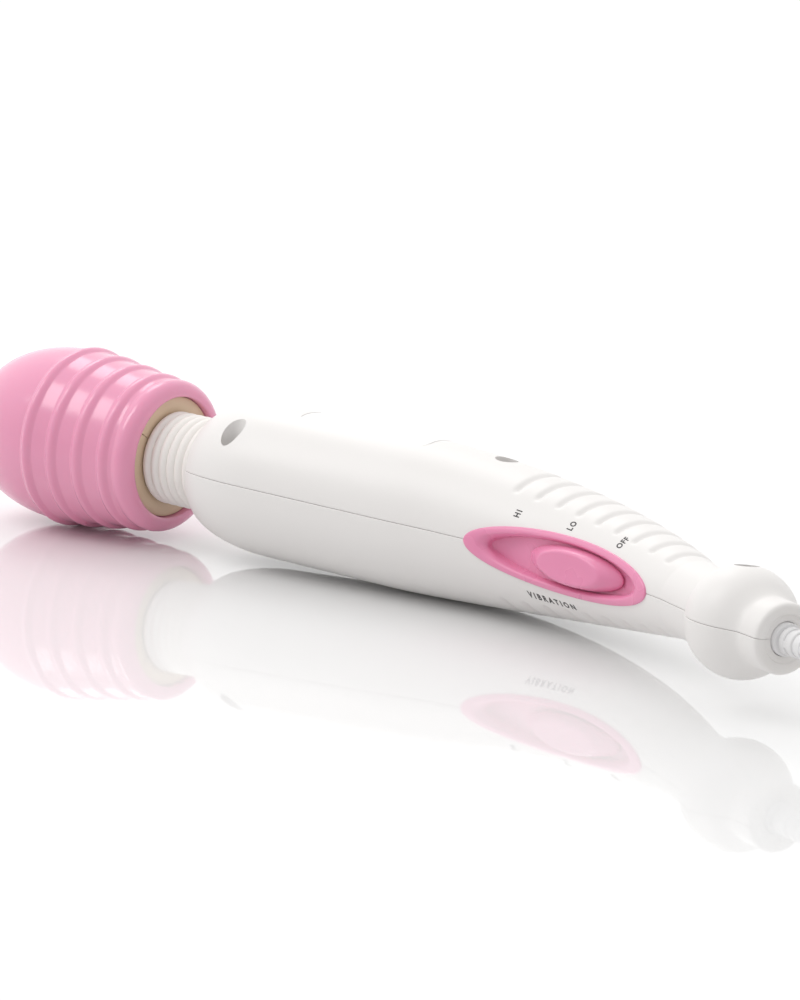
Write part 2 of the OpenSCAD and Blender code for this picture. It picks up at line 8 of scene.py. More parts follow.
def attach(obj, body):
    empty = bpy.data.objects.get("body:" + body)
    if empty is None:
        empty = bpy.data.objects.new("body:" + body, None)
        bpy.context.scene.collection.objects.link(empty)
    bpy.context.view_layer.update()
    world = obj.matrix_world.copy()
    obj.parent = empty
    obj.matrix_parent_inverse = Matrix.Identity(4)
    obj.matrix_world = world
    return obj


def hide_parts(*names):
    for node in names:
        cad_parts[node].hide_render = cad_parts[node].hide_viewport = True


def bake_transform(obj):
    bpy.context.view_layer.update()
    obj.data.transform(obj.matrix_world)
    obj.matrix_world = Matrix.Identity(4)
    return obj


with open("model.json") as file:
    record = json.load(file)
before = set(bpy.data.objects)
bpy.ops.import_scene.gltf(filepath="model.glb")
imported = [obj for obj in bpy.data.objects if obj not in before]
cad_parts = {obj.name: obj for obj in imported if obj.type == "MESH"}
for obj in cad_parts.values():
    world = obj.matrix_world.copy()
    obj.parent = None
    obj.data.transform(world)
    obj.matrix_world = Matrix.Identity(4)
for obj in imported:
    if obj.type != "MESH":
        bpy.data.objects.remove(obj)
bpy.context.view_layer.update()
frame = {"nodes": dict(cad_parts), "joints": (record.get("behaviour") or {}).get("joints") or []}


# ---- View ------------------------------------------------------------------------------
# A long lens looks along the table from the switch side and past the cord's end, low enough
# for the table to mirror the wand. The camera leans by less than a degree.
eye = Vector((0.6646, -0.8760, 0.2846))
aim = Vector((-0.0207, 0.0229, 0.0265))
camera_lean = 0.0122
sight = (aim - eye).normalized()
level = sight.cross(Vector((0, 0, 1))).normalized()
camera_right = level * math.cos(camera_lean) + level.cross(sight) * math.sin(camera_lean)
camera_up = camera_right.cross(sight)


def placed(name, data):
    """New object at the origin, linked to the scene."""
    made = bpy.data.objects.new(name, data)
    bpy.context.scene.collection.objects.link(made)
    return made


camera = placed("camera", bpy.data.cameras.new("camera"))
camera.data.lens = 140.98
camera.data.sensor_width = 36
camera.matrix_world = Matrix.Translation(eye) @ Matrix(
    (camera_right, camera_up, -sight)).transposed().to_4x4()
camera.data.clip_start, camera.data.clip_end = 0.01, 100
bpy.context.scene.camera = camera
bpy.context.scene.view_settings.view_transform = "Standard"


# ---- Mains lead ------------------------------------------------------------------------
# Round two-core PVC flex of 1.75 m. It leaves the ribbed strain relief, comes down to the table
# and is wound anticlockwise into a heaped coil of ten slots; its end leaves the second layer
# and goes level into the plug.
flex_width = 0.0055
down_to_table = [
    (0.1835, -0.0484, 0.0248), (0.1890, -0.0508, 0.0249), (0.1960, -0.0539, 0.0243),
    (0.2030, -0.0569, 0.0222), (0.2100, -0.0600, 0.0183), (0.2170, -0.0632, 0.0133),
    (0.2240, -0.0666, 0.0085), (0.2310, -0.0701, 0.0051), (0.2380, -0.0734, 0.0034),
    (0.2453, -0.0763, 0.0028), (0.2525, -0.0782, 0.0028)]
into_plug = [
    (0.2535, -0.0054, 0.0084), (0.2465, -0.0068, 0.0083), (0.2395, -0.0087, 0.0082),
    (0.2325, -0.0104, 0.0081), (0.2260, -0.0116, 0.0080), (0.2205, -0.0120, 0.0080)]
coil_middle = (0.2605, -0.0418)
coil_radius = 0.0313
coil_pitch = 0.0057
coil_slots = [(1, 0), (0, 0), (-1, 0), (-1, 1), (-1, 2), (-1, 3), (0, 3), (0, 2), (0, 1), (1, 1)]
coil_rest = 0.0028
coil_start, coil_end, coil_step = -90, 2970, 15
first_crossing, last_crossing, crossing_width = 225, 2660, 90


def coiled(angle):
    """Point of the coil at an angle that counts on through all turns."""
    across, up = coil_slots[0]
    for i, (a, b) in enumerate(zip(coil_slots, coil_slots[1:])):
        middle = first_crossing + (last_crossing - first_crossing) * i / (len(coil_slots) - 2)
        t = min(1, max(0, (angle - middle) / crossing_width + 0.5))
        share = t * t * (3 - 2 * t)
        across += (b[0] - a[0]) * share
        up += (b[1] - a[1]) * share
    r = coil_radius + across * coil_pitch
    return (coil_middle[0] + r * math.cos(math.radians(angle)),
            coil_middle[1] + r * math.sin(math.radians(angle)), coil_rest + up * coil_pitch)


coil_points = [coiled(a) for a in range(coil_start, coil_end + 1, coil_step)]
flex_points = down_to_table + coil_points + into_plug
flex_curve = bpy.data.curves.new("mains_lead", "CURVE")
flex_curve.dimensions = "3D"
flex_curve.bevel_depth = flex_width / 2
flex_curve.bevel_resolution = 6
flex_curve.resolution_u = 5
flex_curve.use_fill_caps = True
flex_spline = flex_curve.splines.new("BEZIER")
flex_spline.bezier_points.add(len(flex_points) - 1)
for knot, place in zip(flex_spline.bezier_points, flex_points):
    knot.co = place
    knot.handle_left_type = knot.handle_right_type = "AUTO"
mains_lead = placed("mains_lead", flex_curve)


def new_group(name, inputs, outputs):
    """Shader node group with named sockets, each given as (name, kind, value)."""
    group = bpy.data.node_groups.new(name, "ShaderNodeTree")
    for word, kind, value in inputs:
        socket = group.interface.new_socket(word, in_out="INPUT", socket_type=kind)
        if value is not None:
            socket.default_value = value
    for word, kind in outputs:
        group.interface.new_socket(word, in_out="OUTPUT", socket_type=kind)
    return group, group.nodes.new("NodeGroupInput"), group.nodes.new("NodeGroupOutput")


def new_node(tree, kind, **values):
    """New node; values holds its input sockets' constants, with underscores for spaces."""
    made = tree.nodes.new(kind)
    for word, value in values.items():
        made.inputs[word.replace("_", " ")].default_value = value
    return made


def wire(tree, *links):
    """Makes links given as (node, output, node, input)."""
    for source, output, target, entry in links:
        tree.links.new(source.outputs[output], target.inputs[entry])


# Moulded plastic is never quite even: its tone drifts over centimetres, and the tool's surface
# leaves a fine grain that scatters light.
moulded_skin, skin_in, skin_out = new_group(
    "moulded_skin",
    [("Place", "NodeSocketVector", None), ("Drift", "NodeSocketFloat", 30.0),
     ("Grain", "NodeSocketFloat", 2500.0)],
    [("Tone", "NodeSocketFloat"), ("Height", "NodeSocketFloat")])
drift = new_node(moulded_skin, "ShaderNodeTexNoise", Detail=3)
grain = new_node(moulded_skin, "ShaderNodeTexNoise", Detail=4, Roughness=0.65)
wire(moulded_skin, (skin_in, "Place", drift, "Vector"), (skin_in, "Place", grain, "Vector"),
     (skin_in, "Drift", drift, "Scale"), (skin_in, "Grain", grain, "Scale"),
     (drift, "Fac", skin_out, "Tone"), (grain, "Fac", skin_out, "Height"))
relief_depth = 0.00005


def surfaced(name, group, settings, low, high, spread, rough, bump, **fixed):
    """Material led by a surface group: its Tone, over the spread, runs between two near colours
    and two near roughnesses, and its Height is relief. fixed holds Principled sockets by name,
    with underscores for spaces."""
    material = bpy.data.materials.new(name)
    material.use_nodes = True
    tree = material.node_tree
    shader = tree.nodes["Principled BSDF"]
    place = new_node(tree, "ShaderNodeTexCoord")
    surface = new_node(tree, "ShaderNodeGroup")
    surface.node_tree = group
    for word, value in settings.items():
        surface.inputs[word].default_value = value
    tint = new_node(tree, "ShaderNodeMix")
    tint.data_type = "RGBA"
    tint.inputs["A"].default_value = (*low, 1)
    tint.inputs["B"].default_value = (*high, 1)
    gloss = new_node(tree, "ShaderNodeMapRange", From_Min=spread[0], From_Max=spread[1],
                     To_Min=rough[0], To_Max=rough[1])
    relief = new_node(tree, "ShaderNodeBump", Strength=bump, Distance=relief_depth)
    wire(tree, (place, "Object", surface, "Place"), (surface, "Tone", tint, "Factor"),
         (surface, "Tone", gloss, "Value"), (surface, "Height", relief, "Height"),
         (tint, "Result", shader, "Base Color"), (gloss, "Result", shader, "Roughness"),
         (relief, "Normal", shader, "Normal"))
    for word, value in fixed.items():
        shader.inputs[word.replace("_", " ")].default_value = value
    return material


def moulded(name, low, high, rough, drift=30.0, grain=2500.0, bump=0.05, **fixed):
    """Moulded material with a slow drift of tone and a fine grain."""
    return surfaced(name, moulded_skin, {"Drift": drift, "Grain": grain}, low, high, (0.3, 0.7),
                    rough, bump, **fixed)


flex_pvc = moulded("flex_pvc", (0.78, 0.775, 0.775), (0.84, 0.83, 0.825), (0.42, 0.52),
                   bump=0.2, Specular_IOR_Level=0.45)
flex_curve.materials.append(flex_pvc)
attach(mains_lead, "handle")
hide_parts("cord", "cord_coil", "cord_tail")


def new_piece(name, points, faces, material, sharp=35):
    """Mesh object from points in metres; edges sharper than the angle stay sharp."""
    mesh = bpy.data.meshes.new(name)
    mesh.from_pydata([tuple(p) for p in points], [], faces)
    work = bmesh.new()
    work.from_mesh(mesh)
    bmesh.ops.remove_doubles(work, verts=work.verts, dist=1e-7)
    bmesh.ops.recalc_face_normals(work, faces=work.faces)
    work.to_mesh(mesh)
    work.free()
    mesh.shade_smooth()
    mesh.set_sharp_from_angle(angle=math.radians(sharp))
    mesh.materials.append(material)
    return placed(name, mesh)


def lofted(rings, closed=True):
    """Faces between rings of equal count, each closed on itself; closed caps both ends."""
    count = len(rings[0])
    points = [p for ring in rings for p in ring]
    faces = [(i * count + k, i * count + (k + 1) % count,
              (i + 1) * count + (k + 1) % count, (i + 1) * count + k)
             for i in range(len(rings) - 1) for k in range(count)]
    if closed:
        faces += [tuple(range(count))[::-1], tuple(range(len(points) - count, len(points)))]
    return points, faces


# The moulded plug: a flat body that narrows to a neck with four grip ribs over the flex.
# It lies on its side edge with the two blades towards the wand.
plug_entry = Vector((0.2240, -0.0120, 0.0080))
plug_sections = [
    (-30.0, 9.6, 6.5), (-29.7, 10.4, 7.3), (-29.0, 10.9, 7.8), (-27.5, 11.0, 7.9),
    (-15.0, 11.0, 7.9), (-13.0, 10.6, 7.8), (-10.5, 9.4, 7.4), (-8.0, 7.9, 6.8),
    (-7.0, 7.2, 6.5), (-6.7, 5.7, 5.4), (-5.8, 5.7, 5.4), (-5.5, 6.5, 6.0), (-4.2, 6.1, 5.8),
    (-3.9, 4.9, 4.8), (-3.1, 4.9, 4.8), (-2.8, 5.5, 5.3), (-1.7, 5.1, 5.0), (-1.4, 4.1, 4.1),
    (-0.8, 4.1, 4.1), (-0.5, 4.5, 4.4), (0.0, 4.0, 4.0)]


def rounded_ring(x, wide, high, power, count=48):
    """Ring of a rounded rectangle across X, in millimetres."""
    ring = []
    for k in range(count):
        a = 2 * math.pi * k / count
        c, s = math.cos(a), math.sin(a)
        ring.append((x, wide * math.copysign(abs(c) ** power, c),
                     high * math.copysign(abs(s) ** power, s)))
    return ring


plug_rings = [rounded_ring(x, w, h, 0.55 if x < -8 else 0.8) for x, w, h in plug_sections]
plug_points, plug_faces = lofted(plug_rings)
plug_pvc = moulded("plug_pvc", (0.78, 0.775, 0.77), (0.84, 0.83, 0.82), (0.4, 0.5), bump=0.25)
plug = new_piece("plug", [plug_entry + Vector(p) / 1000 for p in plug_points], plug_faces, plug_pvc)
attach(plug, "handle")
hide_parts("plug_body")

# Brushed metal shows fine lines along one direction and a slightly uneven polish.
drawn_metal, metal_in, metal_out = new_group(
    "drawn_metal",
    [("Place", "NodeSocketVector", None), ("Lines", "NodeSocketFloat", 900.0)],
    [("Tone", "NodeSocketFloat"), ("Height", "NodeSocketFloat")])
stretch = new_node(drawn_metal, "ShaderNodeVectorMath")
stretch.operation = "MULTIPLY"
stretch.inputs[1].default_value = (0.04, 1, 1)
lines = new_node(drawn_metal, "ShaderNodeTexNoise", Detail=3)
cloud = new_node(drawn_metal, "ShaderNodeTexNoise", Scale=140)
wire(drawn_metal, (metal_in, "Place", stretch, 0), (stretch, "Vector", lines, "Vector"),
     (metal_in, "Lines", lines, "Scale"), (metal_in, "Place", cloud, "Vector"),
     (cloud, "Fac", metal_out, "Tone"), (lines, "Fac", metal_out, "Height"))


def metallic(name, low, high, rough, lines=900.0, bump=0.15):
    """Metal with drawing or turning lines and an uneven polish."""
    return surfaced(name, drawn_metal, {"Lines": lines}, low, high, (0, 1), rough, bump,
                    Metallic=1)


def finish_nodes(material, *names):
    """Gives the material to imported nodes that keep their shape."""
    for name in names:
        for holder in frame["nodes"][name].material_slots:
            holder.material = material


contact_brass = metallic("contact_brass", (0.72, 0.55, 0.24), (0.82, 0.66, 0.34), (0.2, 0.36))
finish_nodes(contact_brass, "plug_blades", "switch_pins")

# The tie: a soft plastic strap over the coil with both ends tucked under.
tie_gap, tie_thick, tie_half = 0.4, 0.8, 3.0
tie_line = [(22.75, 0.0), (22.75, 21.6), (23.2, 22.5), (24.0, 22.9), (33.2, 22.9), (34.3, 22.4),
            (39.5, 12.4), (39.85, 11.4), (39.85, 0.0)]


def offset_line(line, by):
    """Open line moved sideways, each point along its own mean normal."""
    moved = []
    for i, (x, z) in enumerate(line):
        x0, z0 = line[max(i - 1, 0)]
        x1, z1 = line[min(i + 1, len(line) - 1)]
        size = math.hypot(x1 - x0, z1 - z0)
        moved.append((x - (z1 - z0) / size * by, z + (x1 - x0) / size * by))
    return moved


tie_inner, tie_outer = offset_line(tie_line, tie_gap), offset_line(tie_line, tie_gap + tie_thick)
tie_rings = [[(x0, -tie_half, z0), (x0, tie_half, z0), (x1, tie_half, z1), (x1, -tie_half, z1)]
             for (x0, z0), (x1, z1) in zip(tie_inner, tie_outer)]
tie_points, tie_faces = lofted(tie_rings)
tie_plastic = moulded("tie_plastic", (0.70, 0.70, 0.70), (0.76, 0.76, 0.75), (0.45, 0.55))
coil_strap = new_piece(
    "coil_strap", [Vector((*coil_middle, 0)) + Vector(p) / 1000 for p in tie_points], tie_faces,
    tie_plastic, sharp=30)
tie_edge = coil_strap.modifiers.new("soft_edge", "BEVEL")
tie_edge.width, tie_edge.segments = 0.0002, 2
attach(coil_strap, "handle")
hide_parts("cord_tie")


# ---- Table and light -------------------------------------------------------------------
# A glossy white table under a bright, even sky that is strongest behind and above the wand,
# with two soft windows over the head's end.
table_size = 8
table_mesh = bpy.data.meshes.new("table")
table_mesh.from_pydata([(x * table_size, y * table_size, 0) for x, y in
                        ((-1, -1), (1, -1), (1, 1), (-1, 1))], [], [(0, 1, 2, 3)])
table = placed("table", table_mesh)
table_gloss = moulded("table_gloss", (0.835, 0.835, 0.837), (0.855, 0.855, 0.857), (0.015, 0.03),
                      drift=2.0, bump=0.0, IOR=1.7)
table_mesh.materials.append(table_gloss)

sky = bpy.data.worlds.new("sky")
bpy.context.scene.world = sky
sky.use_nodes = True
sky_tree = sky.node_tree
sky_from = new_node(sky_tree, "ShaderNodeTexCoord")
sky_side = new_node(sky_tree, "ShaderNodeVectorMath")
sky_side.operation = "DOT_PRODUCT"
sky_side.inputs[1].default_value = Vector((-0.58, 0.66, 0.48)).normalized()
sky_level = new_node(sky_tree, "ShaderNodeMapRange", From_Min=-0.75, From_Max=0.85,
                     To_Min=0.62, To_Max=1.18)
sky_level.interpolation_type = "SMOOTHSTEP"
wire(sky_tree, (sky_from, "Generated", sky_side, 0), (sky_side, "Value", sky_level, "Value"),
     (sky_level, "Result", sky_tree.nodes["Background"], "Strength"))
sky_tree.nodes["Background"].inputs["Color"].default_value = (1, 0.998, 0.995, 1)

window_over, window_far = Vector((-0.12, 0.02, 0.03)), 1.1
for label, toward, wide, high, power in (
        ("front_window", (-0.43, -0.43, 0.74), 0.36, 0.66, 3.0),
        ("rear_window", (-0.46, 0.44, 0.77), 0.40, 0.40, 1.2)):
    lamp = placed(label, bpy.data.lights.new(label, "AREA"))
    lamp.data.shape = "RECTANGLE"
    lamp.data.size, lamp.data.size_y = wide, high
    lamp.data.energy = power
    lamp.data.color = (1, 0.995, 0.985)
    lamp.location = window_over + Vector(toward).normalized() * window_far
    lamp.rotation_euler = (lamp.location - window_over).to_track_quat("Z", "Y").to_euler()


# ---- Head cushion ----------------------------------------------------------------------
# Glossy soft PVC cap, cast in one piece and stretched over the core: a blunt dome, four round
# ribs on a slow taper, and a thick rounded rim that stands past the core's rear face.
# The wand's own axes come from the neck's two hinges; sizes along it are millimetres.
hinge = {j["name"]: j for j in frame["joints"]}
wand_across, wand_up = Vector(hinge["neck_pitch"]["axis"]), Vector(hinge["neck_yaw"]["axis"])
wand_along = wand_across.cross(wand_up)
neck_middle = (Vector(hinge["neck_yaw"]["pos_m"]) + Vector(hinge["neck_pitch"]["pos_m"])) / 2


def laid(x, y, z):
    """A point of the wand, in millimetres from the neck's middle, where it lies on the table."""
    return neck_middle + (wand_along * x + wand_across * y + wand_up * z) / 1000


def turned(outline, steps, start=0.0, sweep=360.0, closed_outline=False):
    """Shape of revolution about the wand's straight axis from (x, r) points. Angle 0 faces the
    switch side and 90 is up. Part of a turn gets flat ends."""
    whole = sweep == 360
    count = steps if whole else steps + 1
    angles = [math.radians(start + sweep * k / steps) for k in range(count)]
    points = [laid(x, -r * math.cos(a), r * math.sin(a)) for x, r in outline for a in angles]
    rows = len(outline)
    pairs = [(i, (i + 1) % rows) for i in range(rows if closed_outline else rows - 1)]
    faces = [(i * count + k, i * count + (k + 1) % count, j * count + (k + 1) % count,
              j * count + k)
             for i, j in pairs for k in range(steps)]
    if not whole:
        faces += [tuple(i * count for i in range(rows)),
                  tuple(i * count + steps for i in range(rows))]
    return points, faces


dome_start, dome_long, dome_wide, taper = -46.0, 39.0, 27.5, 0.1297
rib_at = (-46.0, -36.6, -27.2, -17.8)
rib_tall, rib_half = 0.95, 2.25


def cushion_outline():
    """Outline of the cushion from its tip round the rim and back inside to the axis."""
    stations = [dome_start - dome_long * math.cos(math.radians(a)) ** 0.88 for a in range(0, 81, 2)]
    stations += [stations[-1] + (-14.2 - stations[-1]) * i / 150 for i in range(1, 151)]
    outline = []
    for x in stations:
        if x < dome_start:
            r = dome_wide * max(0, 1 - ((dome_start - x) / dome_long) ** 2.2727) ** 0.44
        else:
            r = dome_wide - taper * (x - dome_start)
        for rib in rib_at:
            near = abs(x - rib) / rib_half
            if near < 1:
                r += rib_tall * (1 - near ** 2.2) ** 1.7
        outline.append((x, r))
    outline += [(-12 + 4 * math.cos(math.radians(a)), 19.9 + 4 * math.sin(math.radians(a)))
                for a in range(110, 9, -8)]
    outline += [(-8.0, 19.7), (-8.15, 19.25), (-8.5, 19.0), (-9.2, 18.95), (-62.1, 18.95),
                (-70.15, 12.2), (-70.15, 0)]
    return outline


head_vinyl = moulded("head_vinyl", (0.78, 0.30, 0.46), (0.82, 0.33, 0.49), (0.13, 0.19), drift=22,
                     grain=700, bump=0.03, Subsurface_Weight=0.12, Subsurface_Scale=0.004,
                     Subsurface_Radius=(1.0, 0.35, 0.45), Coat_Weight=0.25, Coat_Roughness=0.08)
head_cushion = new_piece("head_cushion_cap", *turned(cushion_outline(), 160), head_vinyl, sharp=60)
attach(head_cushion, "head")
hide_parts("head_cushion")


# ---- Head core -------------------------------------------------------------------------
# Two moulded half cups in tan plastic, joined on a slanting plane by four screws, with seats
# for the shaft's two bearings. Only their rear wall shows, round the bellows.
core_turn = 27.0
core_outline = [
    (-70, 0), (-70, 12), (-62, 18.8), (-10.4, 18.8), (-10.1, 18.7), (-10, 18.4), (-10, 13.1),
    (-10.2, 12.8), (-12.6, 12.8), (-12.6, 16.4), (-18, 16.4), (-18, 8.05), (-22, 8.05),
    (-22, 16.4), (-61, 16.4), (-61, 8.05), (-65, 8.05), (-65, 5), (-67.6, 5), (-67.6, 0)]
core_tan = moulded("core_tan", (0.70, 0.545, 0.385), (0.76, 0.60, 0.43), (0.45, 0.58), drift=60,
                   bump=0.3)
for name, start in (("core_half_above", core_turn + 0.4), ("core_half_below", core_turn + 180.4)):
    half = new_piece(name, *turned(core_outline, 72, start, 179.2, True), core_tan)
    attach(half, "head")
    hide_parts("head_core_upper" if "above" in name else "head_core_lower")

# Inside the core: turned steel weight on a ground shaft in two sintered bearings, its set
# screw, the hub of the drive spring and the core's own screws.
zinc_steel = metallic("zinc_steel", (0.58, 0.59, 0.61), (0.70, 0.71, 0.72), (0.25, 0.4))
ground_steel = metallic("ground_steel", (0.62, 0.63, 0.65), (0.70, 0.71, 0.73), (0.12, 0.2), 1600)
turned_iron = metallic("turned_iron", (0.30, 0.30, 0.32), (0.40, 0.40, 0.42), (0.35, 0.5), 700, 0.4)
sintered = metallic("sintered_bronze", (0.55, 0.38, 0.18), (0.66, 0.48, 0.25), (0.4, 0.55), 2200,
                    0.5)
finish_nodes(zinc_steel, "core_screws", "weight_screw", "switch_screws", "board_screws")
finish_nodes(ground_steel, "eccentric_shaft")
finish_nodes(turned_iron, "eccentric_weight")
finish_nodes(sintered, "bearing_rear", "bearing_front", "motor_bushes", "drive_hub_front",
             "drive_hub_rear")


# ---- Neck ------------------------------------------------------------------------------
# White rubber bellows over a steel support spring; a flange at each end is caught behind the
# core's and the shells' front walls. The neck bends at two hinges; the bellows is two meshes
# that meet at its middle.
bead_from, bead_to, bead_count = -9.8, 8.9, 6
valley_r, bead_tall = 13.5, 0.95
bead_pitch = (bead_to - bead_from) / bead_count
bellows_wall, bellows_bore = 12.4, 11.2
flange_near, flange_far, flange_r = 13.1, 15.3, 15.6


def bellows_outline(x_from, x_to, side):
    """Outer line from the middle to the flange and back inside; side 1 is the rear."""
    steps = 90
    outline = []
    for i in range(steps + 1):
        x = x_from + (x_to - x_from) * i / steps
        phase = ((x - bead_from) / bead_pitch) % 1
        outline.append((x, valley_r + bead_tall * math.sin(math.pi * phase) ** 0.8))
    outline += [(x_to, bellows_wall), (side * flange_near, bellows_wall),
                (side * flange_near, flange_r), (side * flange_far, flange_r)]
    outline += [(side * flange_far + (x_from - side * flange_far) * i / 12, bellows_bore)
                for i in range(13)]
    return outline


bellows_rubber = moulded("bellows_rubber", (0.84, 0.81, 0.78), (0.88, 0.85, 0.82), (0.45, 0.55),
                         drift=50, bump=0.15)
middle_valley = bead_from + bead_count // 2 * bead_pitch
for name, x_to, side, start_body, end_body, start, end in (
        ("bellows_rear", bead_to, 1, "handle", "neck", 8.8, middle_valley),
        ("bellows_front", bead_from, -1, "neck", "head", middle_valley, -9.7)):
    bellows = new_piece(
        name, *turned(bellows_outline(middle_valley, x_to, side), 128, closed_outline=True),
        bellows_rubber, sharp=50)
    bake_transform(bellows)
    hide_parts("neck_sleeve")

spring_wire = metallic("spring_wire", (0.42, 0.43, 0.45), (0.55, 0.56, 0.58), (0.28, 0.42), 1200)
dark_moulding = moulded("dark_moulding", (0.030, 0.030, 0.033), (0.045, 0.045, 0.048), (0.4, 0.55),
                        bump=0.3)
finish_nodes(spring_wire, "neck_spring", "drive_spring")
finish_nodes(dark_moulding, "neck_socket_front", "neck_socket_rear")


# ---- Handle shells ---------------------------------------------------------------------
# Two satin white injection mouldings that meet on the wand's middle plane: a round shoulder,
# a barrel for the motor, a grip that tapers and bends to the switch's side, a ball and a
# collar for the cord. The upper shell has four screw wells; grip grooves are on both.
front_face, front_r, shoulder_at, barrel_r = 9.0, 14.8, 36.0, 23.1
shoulder_long = 26.7
taper_from, waist_at, waist_r = 85.0, 212.0, 11.0
ball_at, ball_r, collar_r, collar_end = 239.5, 15.4, 9.7, 261.0
ball_fillet, collar_fillet = 0.9, 2.6
bend_from, bend_r, bend_deg, grip_straight, back_deg = 95.0, 200.0, 31.2, 26.0, 7.4
bend_to = bend_from + bend_r * math.radians(bend_deg)
back_from = bend_to + grip_straight
back_to = back_from + bend_r * math.radians(back_deg)


def heading(s):
    """Angle of the centre line at a station, in radians towards the switch's side."""
    if s <= bend_from:
        return 0.0
    if s <= bend_to:
        return (s - bend_from) / bend_r
    if s <= back_from:
        return math.radians(bend_deg)
    if s <= back_to:
        return math.radians(bend_deg) - (s - back_from) / bend_r
    return math.radians(bend_deg - back_deg)


def centre(s):
    """Point of the centre line at a station, as (x, y)."""
    if s <= bend_from:
        return (s, 0.0)
    if s <= bend_to:
        h = heading(s)
        return (bend_from + bend_r * math.sin(h), -bend_r * (1 - math.cos(h)))
    full = math.radians(bend_deg)
    if s <= back_from:
        x, y = centre(bend_to)
        return (x + (s - bend_to) * math.cos(full), y - (s - bend_to) * math.sin(full))
    if s <= back_to:
        x, y = centre(back_from)
        h = heading(s)
        return (x + bend_r * (math.sin(full) - math.sin(h)),
                y + bend_r * (math.cos(full) - math.cos(h)))
    x, y = centre(back_to)
    h = heading(s)
    return (x + (s - back_to) * math.cos(h), y - (s - back_to) * math.sin(h))


def soft_max(a, b, reach):
    """The larger of two radii with a fillet where they meet."""
    near = max(reach - abs(a - b), 0) / reach
    return max(a, b) + near * near * reach / 4


def shell_radius(s):
    """Outer radius of the shells at a station."""
    if s < shoulder_at:
        part = (shoulder_at - s) / (shoulder_at - front_face)
        return front_r + (barrel_r - front_r) * math.sqrt(max(0, 1 - part * part))
    if s < taper_from:
        return barrel_r
    part = (min(s, waist_at + 14) - taper_from) / (waist_at - taper_from)
    r = barrel_r - (barrel_r - waist_r) * (part ** 1.5 if part < 1 else 1 + 0.06 * (part - 1))
    if s > waist_at - 4:
        ball = math.sqrt(max(0, ball_r ** 2 - (s - ball_at) ** 2))
        if s < ball_at:
            r = soft_max(r, ball, ball_fillet)
        else:
            r = soft_max(collar_r, ball, collar_fillet)
    return r


def on_wand(s, r, angle):
    """Point at a station, a radius and an angle: 0 faces the switch side and 90 is up."""
    x, y = centre(s)
    h = heading(s)
    out = r * math.cos(angle)
    return (x - out * math.sin(h), y - out * math.cos(h), r * math.sin(angle))


groove_first, groove_pitch, groove_count = 133.8, 9.06, 9
groove_deep, groove_half, groove_from, groove_fade = 0.8, 1.15, 51.0, 6.0


def groove(s, angle):
    """Depth of the grip grooves over the top and under the belly."""
    number = round((s - groove_first) / groove_pitch)
    if not 0 <= number < groove_count:
        return 0.0
    off = (s - groove_first - number * groove_pitch) / groove_half
    rise = (90 - abs(abs(math.degrees(angle)) - 90) - groove_from) / groove_fade + 0.5
    rise = min(1, max(0, rise))
    return groove_deep * math.exp(-off * off) * rise * rise * (3 - 2 * rise)


def shell_outline():
    """Outer line from the front lip to the collar's bore, then the inner line back."""
    outer = [(front_face + 0.3, 12.75), (front_face, 13.0), (front_face, 14.0),
             (front_face + 0.08, 14.5), (front_face + 0.3, 15.2)]
    outer += [(shoulder_at - shoulder_long * math.cos(math.radians(a)), None)
              for a in range(14, 90, 3)]
    outer += [(s, None) for s in (36, 40, 43, 46, 50, 56, 62, 68, 74, 80, 84, 87, 90)]
    outer += [(90 + 2.0 * i, None) for i in range(1, 19)]
    outer += [(126 + 0.45 * i, None) for i in range(1, 200)]
    outer += [(215.6 + 0.8 * i, None) for i in range(1, 54)]
    outer = [(s, shell_radius(s) if r is None else r) for s, r in outer]
    outer += [(259.9, 9.68), (260.35, 9.5), (260.7, 9.22), (260.92, 8.85), (261, 8.4), (261, 6.9),
              (260.95, 6.7), (260.8, 6.55), (260.65, 6.4), (260.6, 6.1), (260.6, 4.9),
              (260.5, 4.7), (260.2, 4.6), (250, 4.55)]
    inner = [(248, 10.2), (244, 12.2), (239.5, 13.0), (233, 11.2), (227, 9.0), (216, 8.8),
             (205, 9.9), (190, 11.6), (175, 13.4), (160, 15.1), (145, 16.7), (130, 18.1),
             (115, 19.3), (100, 20.2), (85, 20.7), (60, 20.7), (36, 20.7), (28, 19.9), (21, 18),
             (15.6, 15.7), (13.1, 15.7), (13.1, 12.75)]
    return outer, inner


seam_gap, seam_round = 0.045, 0.28
edge_heights = (0.0, 0.05, 0.12, 0.20, 0.28)
shell_columns = 84


def shell_half(side):
    """Closed solid of one shell: side 1 above the joint and -1 below."""
    outer, inner = shell_outline()
    rows, edges = outer + inner, len(edge_heights)
    points = []
    for i, (s, r) in enumerate(rows):
        angles, dips = [], []
        for height in edge_heights:
            angles.append(math.asin(min(0.9, (seam_gap + height) / r)))
            rise = seam_round - height
            dips.append(seam_round - math.sqrt(max(0, seam_round ** 2 - rise ** 2)))
        first = angles[-1]
        angles += [first + (math.pi - 2 * first) * k / shell_columns
                   for k in range(1, shell_columns)]
        dips += [0.0] * (shell_columns - 1)
        angles += [math.pi - a for a in angles[:edges][::-1]]
        dips += dips[:edges][::-1]
        for angle, dip in zip(angles, dips):
            if i >= len(outer):
                depth = 0.0
            else:
                depth = dip + groove(s, angle * side)
            points.append(laid(*on_wand(s, r - depth, angle * side)))
    width = len(angles)
    faces = [(i * width + k, i * width + k + 1, j * width + k + 1, j * width + k)
             for i, j in ((i, (i + 1) % len(rows)) for i in range(len(rows)))
             for k in range(width - 1)]
    faces += [tuple(i * width for i in range(len(rows))),
              tuple(i * width + width - 1 for i in range(len(rows)))]
    return points, faces


